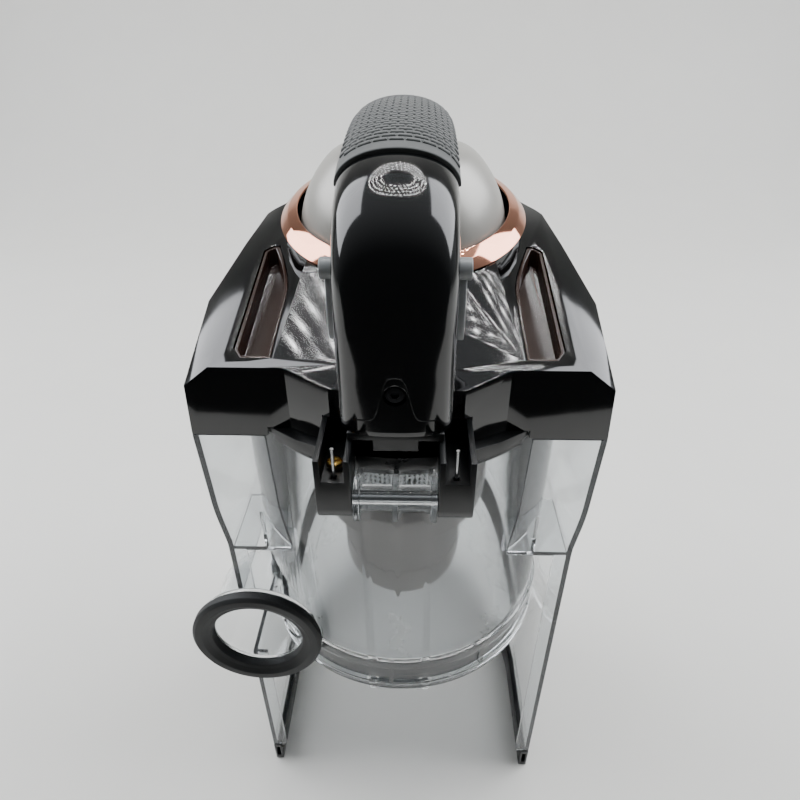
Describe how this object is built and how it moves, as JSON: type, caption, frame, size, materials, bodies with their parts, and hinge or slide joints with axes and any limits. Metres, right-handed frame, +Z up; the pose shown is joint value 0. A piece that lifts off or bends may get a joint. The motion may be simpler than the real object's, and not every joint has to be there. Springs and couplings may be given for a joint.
{
  "type": "vacuum cleaner dust cup",
  "caption": "Clear dust cup of a canister vacuum with skirted outer shell, side inlet port, hinged black lid, arched carrying handle and bottom door.",
  "frame": {"origin": "under the middle of the object's bounding box, on the surface that it stands on", "axes": "+Z up, -Y towards the hinge and inlet side, +X to the right of a viewer who faces that side"},
  "size_m": [0.1794, 0.1826, 0.3556],
  "materials": {
    "clear_plastic": "clear gloss moulded plastic",
    "frosted_plastic": "frosted translucent moulded plastic",
    "gloss_black": "piano black gloss",
    "satin_black": "satin moulded black",
    "smoked_brown": "smoked brown gloss",
    "copper_chrome": "rose-copper bright plating",
    "pearl_grey": "satin pearl-grey paint",
    "black_rubber": "soft matt rubber",
    "grip_rubber": "textured grey-black rubber",
    "grey_plastic": "satin light grey moulding",
    "steel": "bright zinc-plated steel",
    "brass": "bright brass",
    "foam": "open-cell foam",
    "felt": "needled felt"
  },
  "bodies": {
    "dust_cup": {"cup_cylinder": "clear_plastic", "outer_shell": "clear_plastic", "inlet_duct": "clear_plastic", "inlet_gasket": "black_rubber", "base_trim": "satin_black", "separator_ring": "satin_black", "separator_screen": "steel", "separator_skirt": "frosted_plastic", "fine_dust_tube": "frosted_plastic", "vortex_tube": "grey_plastic", "dust_cone": "frosted_plastic", "door_gasket": "black_rubber", "door_hinge_pin": "steel", "door_latch_pin": "steel"},
    "bottom_door": {"bottom_door": "clear_plastic"},
    "door_latch": {"door_latch": "satin_black"},
    "door_push_rod": {"door_push_rod": "grey_plastic"},
    "lid": {"lid_shell": "gloss_black", "lid_base": "satin_black", "lid_gasket": "black_rubber", "recess_tray_left": "smoked_brown", "recess_tray_right": "smoked_brown", "foam_filter": "foam", "felt_filter": "felt", "copper_collar": "copper_chrome", "dome": "pearl_grey", "handle_outer_shell": "gloss_black", "handle_inner_shell": "gloss_black", "handle_grip": "grip_rubber", "handle_screw": "satin_black", "handle_foot_cap": "satin_black", "lid_latch_pin": "steel", "lid_spring_left": "steel", "lid_spring_right": "steel", "ear_screw": "brass", "lid_hinge_pin": "steel"},
    "lid_latch": {"lid_latch": "satin_black"},
    "release_tab_left": {"release_tab_left": "grey_plastic"},
    "release_tab_right": {"release_tab_right": "grey_plastic"}
  },
  "joints": [
    {"name": "lid_hinge", "type": "hinge", "parent": "dust_cup", "child": "lid", "pos_m": [0.00975, -0.0829, 0.24], "axis": [1, 0, 0], "range_deg": [0, 95]},
    {"name": "lid_latch_pivot", "type": "hinge", "parent": "lid", "child": "lid_latch", "pos_m": [0.00975, 0.0877, 0.256], "axis": [1, 0, 0], "range_deg": [0, 10], "stiffness_Nm_per_rad": 0.05, "springref_deg": -11.46},
    {"name": "release_tab_left_slide", "type": "slide", "parent": "lid", "child": "release_tab_left", "axis": [1, 0, 0], "range_m": [0, 0.002], "stiffness_N_per_m": 400, "springref_m": -0.002},
    {"name": "release_tab_right_slide", "type": "slide", "parent": "lid", "child": "release_tab_right", "axis": [-1, 0, 0], "range_m": [0, 0.002], "stiffness_N_per_m": 400, "springref_m": -0.002},
    {"name": "bottom_door_hinge", "type": "hinge", "parent": "dust_cup", "child": "bottom_door", "pos_m": [0.00975, -0.0645, 0.098], "axis": [-1, 0, 0], "range_deg": [0, 50]},
    {"name": "push_rod_slide", "type": "slide", "parent": "dust_cup", "child": "door_push_rod", "axis": [0, 0, -1], "range_m": [0, 0.005], "stiffness_N_per_m": 300, "springref_m": -0.004},
    {"name": "door_latch_pivot", "type": "hinge", "parent": "dust_cup", "child": "door_latch", "pos_m": [0.00975, 0.0823, 0.112], "axis": [1, 0, 0], "range_deg": [0, 12]}
  ],
  "couplings": [
    {"joint": "door_latch_pivot", "follows": "push_rod_slide", "rad_per_m": 41}
  ]
}
